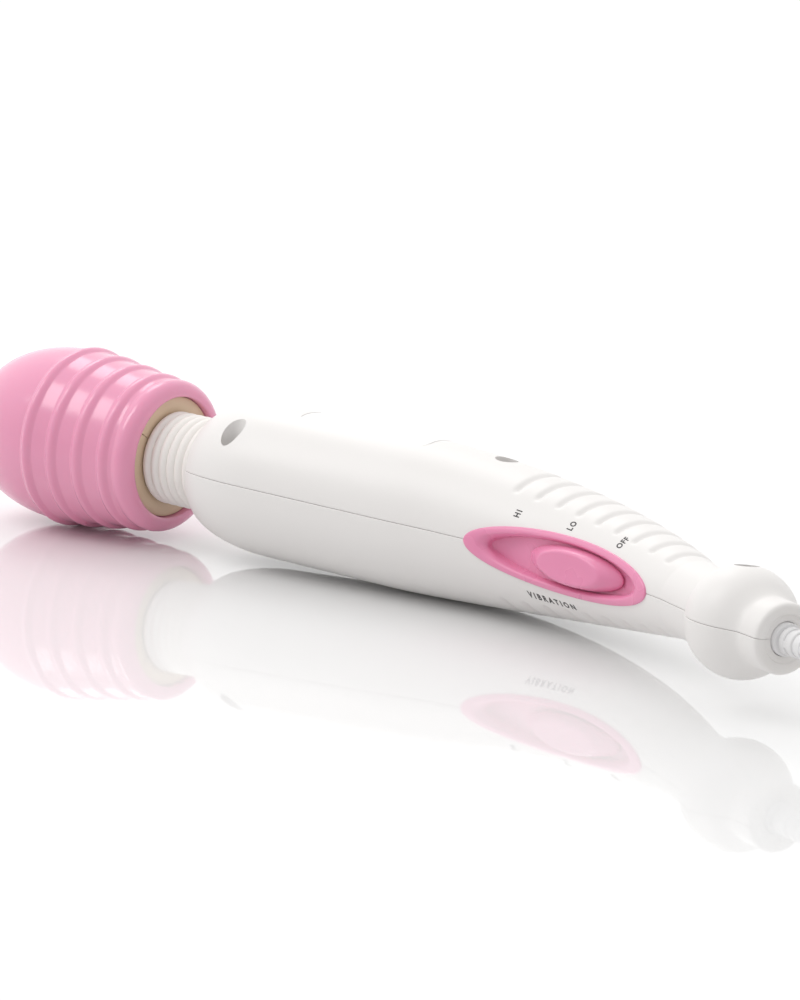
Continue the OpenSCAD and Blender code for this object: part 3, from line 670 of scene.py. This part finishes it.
shell_white = moulded("shell_white", (0.80, 0.777, 0.763), (0.835, 0.815, 0.80), (0.36, 0.44),
                      drift=18, grain=1800, bump=0.12, Specular_IOR_Level=0.5)
# Wells: station, offset across, height of the screw's seat; the two front ones stand abreast.
wells = ((26.5, 16.4, 5.0), (26.5, -16.4, 5.0), (116.2, 0.0, 5.0), (238.0, 0.0, 4.0))
well_r, boss_r = 3.5, 4.7
cutter_top, cup_foot, cup_under = 40.0, 0.3, 1.2


def over_well(well, dx, dy, z):
    """Point beside a well's axis, turned with the centre line at its station."""
    s, across, _ = well
    x, y = centre(s)
    h = heading(s)
    dy += across
    return laid(x + dx * math.cos(h) + dy * math.sin(h), y - dx * math.sin(h) + dy * math.cos(h), z)


def oval(a, b, count):
    """Points round an oval of half lengths a and b."""
    return [(a * math.cos(math.tau * k / count), b * math.sin(math.tau * k / count))
            for k in range(count)]


def add_part(points, faces, part):
    """Adds a part's points and faces to the lists of others."""
    more, sides = part
    faces += [tuple(v + len(points) for v in f) for f in sides]
    points += more


def well_cutters():
    """Upright rods that open the four wells."""
    points, faces = [], []
    for well in wells:
        add_part(points, faces, lofted([
            [over_well(well, dx, dy, z) for dx, dy in oval(well_r, well_r, 64)]
            for z in (well[2], cutter_top)]))
    return points, faces


def well_cups():
    """The bosses' inner faces under the skin, each with a flat seat for the screw head."""
    points, faces = [], []
    for well in wells:
        s, across, seat = well
        rings = []
        for r, top in ((1.5, False), (well_r - 0.02, False), (well_r - 0.02, True), (boss_r, True)):
            ring = []
            for dx, dy in oval(r, r, 64):
                z = seat
                if top:
                    skin = shell_radius(s + dx)
                    z = max(seat + 0.2, math.sqrt(max(0, skin ** 2 - (across + dy) ** 2))
                            - cup_under)
                ring.append(over_well(well, dx, dy, z))
            rings.append(ring)
        rings += [[over_well(well, dx, dy, cup_foot) for dx, dy in oval(r, r, 64)]
                  for r in (boss_r, 1.5)]
        add_part(points, faces, lofted(rings + rings[:1], closed=False))
    return points, faces


# The rating plate's bed: a shallow pocket with round corners in the top of the barrel.
plate_from, plate_to, plate_half, plate_corner = 43.6, 92.0, 9.9, 4.0


def plate_slab(grow, r_low, r_high):
    """Curved slab with round corners that follows the barrel."""
    rows = []
    steps = 48
    for j in range(steps + 1):
        y = (plate_half + grow) * math.sin(math.pi / 2 * (2 * j / steps - 1))
        into = max(0, abs(y) - (plate_half + grow - plate_corner))
        pull = plate_corner - math.sqrt(max(0, plate_corner ** 2 - into ** 2))
        rows.append((y, plate_from - grow + pull, plate_to + grow - pull))
    points, cells = [], 24
    for r in (r_low, r_high):
        for y, x0, x1 in rows:
            for k in range(cells + 1):
                a = math.asin(y / r_high)
                points.append(laid(x0 + (x1 - x0) * k / cells, r * math.sin(a), r * math.cos(a)))
    layer, wide = (steps + 1) * (cells + 1), cells + 1
    faces = []
    for j in range(steps):
        for k in range(cells):
            a = j * wide + k
            faces.append((a, a + wide, a + wide + 1, a + 1))
            faces.append((layer + a, layer + a + 1, layer + a + wide + 1, layer + a + wide))
    rim = list(range(wide)) + [j * wide + cells for j in range(1, steps + 1)]
    rim += [steps * wide + k for k in range(cells - 1, -1, -1)]
    rim += [j * wide for j in range(steps - 1, 0, -1)]
    faces += [(a, b, b + layer, a + layer) for a, b in zip(rim, rim[1:] + rim[:1])]
    return points, faces


# The switch's own axes: X along the handle's surface towards the tail, Y up round the handle
# and Z out of it, from the surface at the switch's middle station.
switch_at, surface_lean = 164.5, 7.5
slot_a, slot_b, slot_from, slot_to = 36.2, 6.9, -12, 14
switch_turn = heading(switch_at) - math.radians(surface_lean)
switch_middle = on_wand(switch_at, shell_radius(switch_at), 0.0)


def off_switch(x, y, z):
    """A point of the switch, in millimetres, in the wand's millimetres."""
    c, s = math.cos(switch_turn), math.sin(switch_turn)
    return (switch_middle[0] + x * c - z * s, switch_middle[1] - x * s - z * c, y)


def switch_cutter():
    """Oval prism that opens the shells under the switch."""
    return lofted([[laid(*off_switch(x, y, z)) for x, y in oval(slot_a, slot_b, 96)]
                   for z in (slot_from, slot_to)])



def evaluated_mesh(piece):
    """Plain mesh of an object with its modifiers."""
    bpy.context.view_layer.update()
    shape = piece.evaluated_get(bpy.context.evaluated_depsgraph_get())
    return bpy.data.meshes.new_from_object(shape)


def cut(piece, *cutters):
    """Takes closed cutters out of a piece."""
    tools = []
    for number, (points, faces) in enumerate(cutters):
        tool = new_piece(f"cutter_{number}", points, faces, shell_white)
        carve = piece.modifiers.new("carve", "BOOLEAN")
        carve.operation, carve.solver, carve.object = "DIFFERENCE", "EXACT", tool
        tools.append(tool)
    carved = evaluated_mesh(piece)
    piece.modifiers.clear()
    piece.data = carved
    for tool in tools:
        bpy.data.objects.remove(tool)


def join_into(piece, points, faces):
    """Adds a loose closed part to a piece's mesh."""
    part = new_piece("part", points, faces, shell_white)
    work = bmesh.new()
    work.from_mesh(piece.data)
    work.from_mesh(part.data)
    work.to_mesh(piece.data)
    work.free()
    bpy.data.objects.remove(part)


for name, side in (("shell_above", 1), ("shell_below", -1)):
    shell = new_piece(name, *shell_half(side), shell_white)
    if side > 0:
        cut(shell, switch_cutter(), well_cutters(), plate_slab(0.0, barrel_r - 0.45, barrel_r + 3))
        join_into(shell, *well_cups())
    else:
        cut(shell, switch_cutter())
    shell.data.shade_smooth()
    shell.data.set_sharp_from_angle(angle=math.radians(32))
    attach(shell, "handle")
    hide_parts("shell_upper" if side > 0 else "shell_lower")

# Blank rating plate: a satin polyester film in the barrel's bed, a hair short of its edge.
plate_film = moulded("plate_film", (0.82, 0.81, 0.80), (0.85, 0.84, 0.83), (0.3, 0.36), bump=0.06)
rating_plate = new_piece("rating_film", *plate_slab(-0.28, barrel_r - 0.43, barrel_r - 0.08),
                         plate_film)
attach(rating_plate, "handle")
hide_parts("rating_plate")


# ---- Shell screws ----------------------------------------------------------------------
# Four zinc-plated pan-head screws with a cross slot, down the wells of the upper shell.
# A small node tree puts one screw at the foot of every well.
def screw_shape():
    """One screw, head up, with its seat at height 0, in metres."""
    profile = [(0.0, -8.0), (0.6, -8.0), (1.4, -6.4), (1.4, 0.0), (2.8, 0.0), (2.8, 0.7),
               (2.6, 1.3), (2.1, 1.75), (1.4, 2.0)]
    rings = [[(x / 1000, y / 1000, z / 1000) for x, y in oval(r, r, 32)] for r, z in profile]
    slot_ring = []
    for k in range(32):
        a = math.tau * k / 32
        arm = max(abs(math.cos(a)), abs(math.sin(a))) ** 12
        slot_ring.append((1 + arm * 0.3, a))
    for z, share in ((2.0, 1.0), (1.1, 0.9)):
        rings.append([(r * share * math.cos(a) / 1000 * (0.45 + 0.55 * (r - 1) / 0.3),
                       r * share * math.sin(a) / 1000 * (0.45 + 0.55 * (r - 1) / 0.3), z / 1000)
                      for r, a in slot_ring])
    return lofted(rings)


def node_tree(name, inputs):
    """Geometry node tree with named inputs, its group input and its output."""
    tree = bpy.data.node_groups.new(name, "GeometryNodeTree")
    tree.interface.new_socket("Geometry", in_out="INPUT", socket_type="NodeSocketGeometry")
    for word, kind in inputs:
        tree.interface.new_socket(word, in_out="INPUT", socket_type=kind)
    tree.interface.new_socket("Geometry", in_out="OUTPUT", socket_type="NodeSocketGeometry")
    return tree, tree.nodes.new("NodeGroupInput"), tree.nodes.new("NodeGroupOutput")


def grown(name, base, tree, values, sharp=35):
    """Runs a node tree on a base mesh and keeps the result as a plain piece."""
    modifier = base.modifiers.new(name, "NODES")
    modifier.node_group = tree
    for item in tree.interface.items_tree:
        if item.in_out == "INPUT" and item.name in values:
            modifier[item.identifier] = values[item.name]
    mesh = evaluated_mesh(base)
    bpy.data.objects.remove(base)
    mesh.shade_smooth()
    mesh.set_sharp_from_angle(angle=math.radians(sharp))
    return placed(name, mesh)


screw_tree, screw_in, screw_out = node_tree(
    "screws_in_wells", [("Screw", "NodeSocketObject"), ("Up", "NodeSocketVector"),
                        ("Turn", "NodeSocketFloat"), ("Finish", "NodeSocketMaterial")])
screw_info = new_node(screw_tree, "GeometryNodeObjectInfo")
screw_aim = new_node(screw_tree, "FunctionNodeAlignRotationToVector")
screw_aim.axis = "Z"
screw_number = new_node(screw_tree, "GeometryNodeInputIndex")
screw_twist = new_node(screw_tree, "ShaderNodeMath")
screw_twist.operation = "MULTIPLY"
screw_spin = new_node(screw_tree, "ShaderNodeCombineXYZ")
screw_rotate = new_node(screw_tree, "FunctionNodeRotateRotation")
screw_rotate.rotation_space = "LOCAL"
screw_put = new_node(screw_tree, "GeometryNodeInstanceOnPoints")
screw_real = new_node(screw_tree, "GeometryNodeRealizeInstances")
screw_paint = new_node(screw_tree, "GeometryNodeSetMaterial")
wire(screw_tree, (screw_in, "Screw", screw_info, "Object"), (screw_in, "Up", screw_aim, "Vector"),
     (screw_number, "Index", screw_twist, 0), (screw_in, "Turn", screw_twist, 1),
     (screw_twist, "Value", screw_spin, "Z"), (screw_aim, "Rotation", screw_rotate, "Rotation"),
     (screw_spin, "Vector", screw_rotate, "Rotate By"),
     (screw_in, "Geometry", screw_put, "Points"), (screw_info, "Geometry", screw_put, "Instance"),
     (screw_rotate, "Rotation", screw_put, "Rotation"),
     (screw_put, "Instances", screw_real, "Geometry"),
     (screw_real, "Geometry", screw_paint, "Geometry"),
     (screw_in, "Finish", screw_paint, "Material"),
     (screw_paint, "Geometry", screw_out, "Geometry"))
one_screw = new_piece("one_screw", *screw_shape(), zinc_steel)
screw_seats = new_piece("screw_seats", [over_well(w, 0, 0, w[2] + 0.02) for w in wells], [],
                        zinc_steel)
shell_screws = grown("shell_screw_set", screw_seats, screw_tree,
                     {"Screw": one_screw, "Up": tuple(wand_up), "Turn": 0.7,
                      "Finish": zinc_steel})
bpy.data.objects.remove(one_screw)
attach(shell_screws, "handle")
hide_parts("shell_screws")


# ---- Switch bezel ----------------------------------------------------------------------
# Glossy pink moulding pressed into the shells: a rounded oval rim that follows the handle's
# hollow side, and a sunk well in which the knob slides.
bezel_a, bezel_b = 37.9, 8.3
well_a, well_b, well_floor = 30.5, 5.8, -2.6
floor_flat, floor_fade, floor_thick = 24, 7, 1.3
# From the rim's outer wall to the well's edge: share of the way, height over the skin
rim_line = ((0.0, -1.6), (0.0, 0.3), (0.015, 0.42), (0.05, 0.52), (0.15, 0.6), (0.32, 0.66),
            (0.48, 0.65), (0.58, 0.58), (0.66, 0.44), (0.76, 0.1), (0.88, -0.5), (1.0, -1.2))


def skin_height(x, y):
    """Height of the shells' skin over the switch's plane."""
    low, high = -14.0, 14.0
    s = switch_at + x
    for _ in range(26):
        z = (low + high) / 2
        px, py, pz = off_switch(x, y, z)
        for _ in range(4):
            cx, cy = centre(s)
            h = heading(s)
            s += (px - cx) * math.cos(h) - (py - cy) * math.sin(h)
        cx, cy = centre(s)
        outward = math.hypot(math.hypot(px - cx, py - cy), pz) > shell_radius(s)
        low, high = (low, z) if outward else (z, high)
    return (low + high) / 2


def bezel_shape():
    """Rings from under the skin over the rim and down to the floor's middle."""
    count = 192
    rings = []
    for share, tall in rim_line:
        a = bezel_a + (well_a - bezel_a) * share
        b = bezel_b + (well_b - bezel_b) * share
        rings.append([(x, y, skin_height(x, y) + tall) for x, y in oval(a, b, count)])
    floor_line = [well_floor + max(0.0, skin_height(x, 0)) * 0.75
                  for x, _ in oval(well_a, well_b, count)]
    last = rings[-1]
    for share in (0.3, 0.7, 0.9, 1.0):
        rings.append([(x * (1 - 0.006 * share), y * (1 - 0.02 * share), z + (f - z) * share)
                      for (x, y, z), f in zip(last, floor_line)])
    foot = rings[-1]
    for share in (0.985, 0.95, 0.9, 0.84, 0.78, 0.7, 0.5, 0.3, 0.1, 0.01):
        rings.append([
            (x * share, y * share, well_floor + (z - well_floor)
             * min(1, max(0, (abs(x * share) - floor_flat) / floor_fade)) ** 1.4)
            for x, y, z in foot])
    points, faces = lofted(rings, closed=False)
    faces.append(tuple(range(len(points) - count, len(points))))
    under = [[(x, y, z - floor_thick) for x, y, z in ring] for ring in (rings[-1], foot)]
    base = len(points)
    for ring in under:
        points += ring
    faces += [(base + k, base + (k + 1) % count, base + count + (k + 1) % count, base + count + k)
              for k in range(count)]
    faces += [(base + count + k, base + count + (k + 1) % count, (k + 1) % count, k)
              for k in range(count)]
    faces.append(tuple(base + k for k in range(count)))
    return [laid(*off_switch(*p)) for p in points], faces


switch_pink = moulded("switch_pink", (0.78, 0.255, 0.43), (0.82, 0.285, 0.465), (0.26, 0.34),
                      drift=60, bump=0.08, Subsurface_Weight=0.08, Subsurface_Scale=0.002,
                      Subsurface_Radius=(1.0, 0.35, 0.45))
switch_bezel = new_piece("bezel", *bezel_shape(), switch_pink, sharp=50)
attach(switch_bezel, "handle")
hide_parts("switch_bezel")


# ---- Switch knob -----------------------------------------------------------------------
# Sliding thumb knob in the same pink: an oval base, sloped ends and a flat oval top with a
# soft edge. It rests at its OFF end, nearest the tail.
knob_rest, knob_gap = 4.3, 0.3
knob_rings = [
    (18.4, 5.1, 0.0), (18.9, 5.35, 0.2), (19.0, 5.4, 0.5), (18.8, 5.38, 0.8), (18.0, 5.3, 1.25),
    (16.6, 5.18, 1.95), (15.2, 5.02, 2.65), (14.1, 4.86, 3.25), (13.4, 4.7, 3.65),
    (12.9, 4.52, 3.92), (12.5, 4.3, 4.1), (12.1, 4.05, 4.2), (11.6, 3.8, 4.22), (10.4, 3.4, 4.2),
    (8.0, 2.6, 4.15), (5.0, 1.6, 4.12), (2.5, 0.8, 4.11), (0.3, 0.1, 4.1)]


def knob_shape():
    """Rings from the base to the top."""
    return lofted([[laid(*off_switch(knob_rest + x, y, well_floor + knob_gap + z))
                    for x, y in oval(a, b, 96)] for a, b, z in knob_rings])



switch_knob = new_piece("knob", *knob_shape(), switch_pink, sharp=60)
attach(switch_knob, "slider")
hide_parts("switch_knob")
finish_nodes(dark_moulding, "switch_actuator", "switch_body", "motor_end_cap")


# ---- Switch lettering ------------------------------------------------------------------
# Pad-printed dark grey words on the shells: the three switch positions read up round the
# handle, and the function reads along it.
ink = moulded("print_ink", (0.045, 0.043, 0.043), (0.065, 0.062, 0.062), (0.45, 0.6), bump=0.2)
ink_thick, ink_sunk = 0.03, -0.05
stroke_more, capital_share, longest_edge = 0.11, 0.72, 0.7


def printed(name, words, tall, spacing, narrow, place):
    """Text as a thin mesh on the shells; place turns its millimetres into station and angle."""
    text = bpy.data.curves.new(name, "FONT")
    text.body, text.size, text.space_character = words, tall / capital_share, spacing
    text.offset = stroke_more
    text.align_x, text.align_y = "CENTER", "CENTER"
    text.resolution_u = 4
    holder = placed(name, text)
    flat = evaluated_mesh(holder)
    bpy.data.objects.remove(holder)
    work = bmesh.new()
    work.from_mesh(flat)
    bmesh.ops.remove_doubles(work, verts=work.verts, dist=1e-4)
    bmesh.ops.triangulate(work, faces=work.faces)
    bmesh.ops.subdivide_edges(
        work, edges=[e for e in work.edges if e.calc_length() > longest_edge], cuts=2)
    bmesh.ops.triangulate(work, faces=work.faces)
    solid = bmesh.ops.extrude_face_region(work, geom=work.faces[:])
    top = {v for v in solid["geom"] if isinstance(v, bmesh.types.BMVert)}
    for v in work.verts:
        s, angle = place(v.co.x * narrow, v.co.y)
        lift = ink_thick if v in top else ink_sunk
        v.co = laid(*on_wand(s, shell_radius(s) + lift, angle))
    bmesh.ops.recalc_face_normals(work, faces=work.faces)
    work.to_mesh(flat)
    work.free()
    flat.materials.clear()
    flat.materials.append(ink)
    made = placed(name, flat)
    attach(made, "handle")


def reads_up(s_middle, degrees):
    """Words that read up round the handle with their tops towards the head."""
    return lambda x, y: (s_middle - y, math.radians(degrees) + x / shell_radius(s_middle))


def reads_along(s_middle, degrees, slope):
    """Words that read along the handle towards the tail."""
    return lambda x, y: (s_middle + x,
                         math.radians(degrees + slope * x) + y / shell_radius(s_middle))


printed("word_high", "HI", 2.3, 1.35, 0.66, reads_up(140.2, 32.0))
printed("word_low", "LO", 2.3, 1.3, 0.66, reads_up(162.3, 38.7))
printed("word_off", "OFF", 2.3, 1.2, 0.66, reads_up(184.7, 44.9))
printed("word_function", "VIBRATION", 2.1, 1.55, 0.92, reads_along(157.3, -40.6, -0.31))


# ---- Motor, board and leads -------------------------------------------------------------
# A permanent-magnet motor in two soft rubber rings, a rectifier board on edge beside the
# switch, and the leads between them, all closed in by the shells.
for finish, *names in (
        (metallic("can_steel", (0.52, 0.53, 0.55), (0.64, 0.65, 0.66), (0.28, 0.42)), "motor_can"),
        (metallic("rotor_iron", (0.34, 0.34, 0.36), (0.46, 0.46, 0.48), (0.35, 0.5), 600, 0.5),
         "motor_rotor"),
        (moulded("ferrite", (0.05, 0.05, 0.052), (0.08, 0.08, 0.08), (0.6, 0.75), grain=1200,
                 bump=0.5), "motor_magnets"),
        (moulded("carbon", (0.02, 0.02, 0.02), (0.035, 0.035, 0.035), (0.5, 0.7), bump=0.5),
         "motor_brushes"),
        (moulded("mount_rubber", (0.02, 0.02, 0.021), (0.03, 0.03, 0.03), (0.6, 0.75), bump=0.4),
         "motor_mount_front", "motor_mount_rear"),
        (moulded("laminate", (0.02, 0.12, 0.06), (0.03, 0.16, 0.08), (0.3, 0.42), drift=200,
                 bump=0.2), "circuit_board"),
        (moulded("diode_black", (0.012, 0.012, 0.012), (0.02, 0.02, 0.02), (0.35, 0.5), bump=0.2),
         "bridge_diodes"),
        (moulded("capacitor_sleeve", (0.012, 0.02, 0.10), (0.02, 0.03, 0.14), (0.2, 0.3)),
         "board_capacitor"),
        (moulded("resistor_lacquer", (0.50, 0.36, 0.18), (0.58, 0.42, 0.22), (0.35, 0.5)),
         "board_resistors"),
        (moulded("lead_pvc", (0.05, 0.05, 0.055), (0.08, 0.08, 0.085), (0.4, 0.5)),
         "inner_leads")):
    finish_nodes(finish, *names)


# ---- Strain relief ---------------------------------------------------------------------
# PVC grommet moulded on the flex and gripped by the collar: a tapered tube with ten short
# ribs, each joined to the next by two bridges that turn by a quarter from rib to rib.
relief_ribs, relief_pitch = 10, 3.5
tail_turn = heading(collar_end)
tail_along = (wand_along * math.cos(tail_turn) - wand_across * math.sin(tail_turn)).normalized()
tail_side = tail_along.cross(wand_up).normalized()
collar_middle = laid(*centre(collar_end), 0)


def tail_point(x, y, z):
    """Point of the relief in millimetres from the collar's face, X along the tail."""
    return collar_middle + (tail_along * x + tail_side * y + wand_up * z) / 1000


def relief_tube():
    """Plug in the collar and the thin tube under the ribs."""
    outline = [(-14, 2.8), (-14, 5.6), (-11, 5.6), (-11, 4.5), (0.6, 4.5), (1.0, 4.3), (1.2, 3.3),
               (36.6, 2.95), (38.0, 2.85)]
    outline += [(38.0, 2.78), (-14, 2.78)]
    rings = [[tail_point(x, y, z) for y, z in oval(r, r, 48)] for x, r in outline]
    return lofted(rings + rings[:1], closed=False)


def rib_shape():
    """One rib about X with two bridges to the next, in metres."""
    profile = [(0.0, 2.7), (0.0, 3.55), (0.25, 3.8), (1.75, 3.8), (2.0, 3.55), (2.0, 2.7)]
    rings = [[(x / 1000, y / 1000, z / 1000) for y, z in oval(r, r, 48)] for x, r in profile]
    points, faces = lofted(rings + rings[:1], closed=False)
    for side in (0, math.pi):
        ring_points = []
        for x in (1.8, relief_pitch + 0.1):
            for r, off in ((2.7, -0.32), (3.62, -0.26), (3.68, 0.0), (3.62, 0.26), (2.7, 0.32)):
                ring_points.append((x / 1000, r * math.cos(side + off) / 1000,
                                    r * math.sin(side + off) / 1000))
        add_part(points, faces, (ring_points, (
            (0, 1, 2, 3, 4), (9, 8, 7, 6, 5), (0, 5, 6, 1), (1, 6, 7, 2), (2, 7, 8, 3),
            (3, 8, 9, 4), (4, 9, 5, 0))))
    return points, faces


relief_tree, relief_in, relief_out = node_tree(
    "ribs_on_relief", [("Rib", "NodeSocketObject"), ("Ribs", "NodeSocketInt"),
                       ("Start", "NodeSocketVector"), ("Step", "NodeSocketVector"),
                       ("Along", "NodeSocketVector"), ("Taper", "NodeSocketFloat"),
                       ("Finish", "NodeSocketMaterial")])
relief_line = new_node(relief_tree, "GeometryNodeMeshLine")
relief_info = new_node(relief_tree, "GeometryNodeObjectInfo")
relief_aim = new_node(relief_tree, "FunctionNodeAlignRotationToVector")
relief_aim.axis = "X"
relief_number = new_node(relief_tree, "GeometryNodeInputIndex")
quarter = new_node(relief_tree, "ShaderNodeMath")
quarter.operation = "MULTIPLY"
quarter.inputs[1].default_value = math.pi / 2
relief_spin = new_node(relief_tree, "ShaderNodeCombineXYZ")
relief_rotate = new_node(relief_tree, "FunctionNodeRotateRotation")
relief_rotate.rotation_space = "LOCAL"
shrink = new_node(relief_tree, "ShaderNodeMath")
shrink.operation = "MULTIPLY_ADD"
shrink.inputs[2].default_value = 1.0
relief_scale = new_node(relief_tree, "ShaderNodeCombineXYZ", X=1.0)
relief_put = new_node(relief_tree, "GeometryNodeInstanceOnPoints")
relief_join = new_node(relief_tree, "GeometryNodeJoinGeometry")
relief_real = new_node(relief_tree, "GeometryNodeRealizeInstances")
relief_paint = new_node(relief_tree, "GeometryNodeSetMaterial")
wire(relief_tree, (relief_in, "Ribs", relief_line, "Count"),
     (relief_in, "Start", relief_line, "Start Location"),
     (relief_in, "Step", relief_line, "Offset"), (relief_in, "Rib", relief_info, "Object"),
     (relief_in, "Along", relief_aim, "Vector"), (relief_number, "Index", quarter, 0),
     (quarter, "Value", relief_spin, "X"), (relief_aim, "Rotation", relief_rotate, "Rotation"),
     (relief_spin, "Vector", relief_rotate, "Rotate By"), (relief_number, "Index", shrink, 0),
     (relief_in, "Taper", shrink, 1), (shrink, "Value", relief_scale, "Y"),
     (shrink, "Value", relief_scale, "Z"), (relief_line, "Mesh", relief_put, "Points"),
     (relief_info, "Geometry", relief_put, "Instance"),
     (relief_rotate, "Rotation", relief_put, "Rotation"),
     (relief_scale, "Vector", relief_put, "Scale"),
     (relief_put, "Instances", relief_join, "Geometry"),
     (relief_in, "Geometry", relief_join, "Geometry"),
     (relief_join, "Geometry", relief_real, "Geometry"),
     (relief_real, "Geometry", relief_paint, "Geometry"),
     (relief_in, "Finish", relief_paint, "Material"),
     (relief_paint, "Geometry", relief_out, "Geometry"))
relief_pvc = moulded("relief_pvc", (0.76, 0.755, 0.76), (0.82, 0.81, 0.815), (0.4, 0.5), drift=120,
                     bump=0.25)
one_rib = new_piece("one_rib", *rib_shape(), relief_pvc)
strain_relief = grown(
    "grommet", new_piece("relief_tube", *relief_tube(), relief_pvc), relief_tree,
    {"Rib": one_rib, "Ribs": relief_ribs, "Start": tuple(tail_point(1.6, 0, 0)),
     "Step": tuple(tail_along * relief_pitch / 1000), "Along": tuple(tail_along),
     "Taper": -0.0135, "Finish": relief_pvc}, sharp=40)
bpy.data.objects.remove(one_rib)
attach(strain_relief, "handle")
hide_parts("strain_relief")
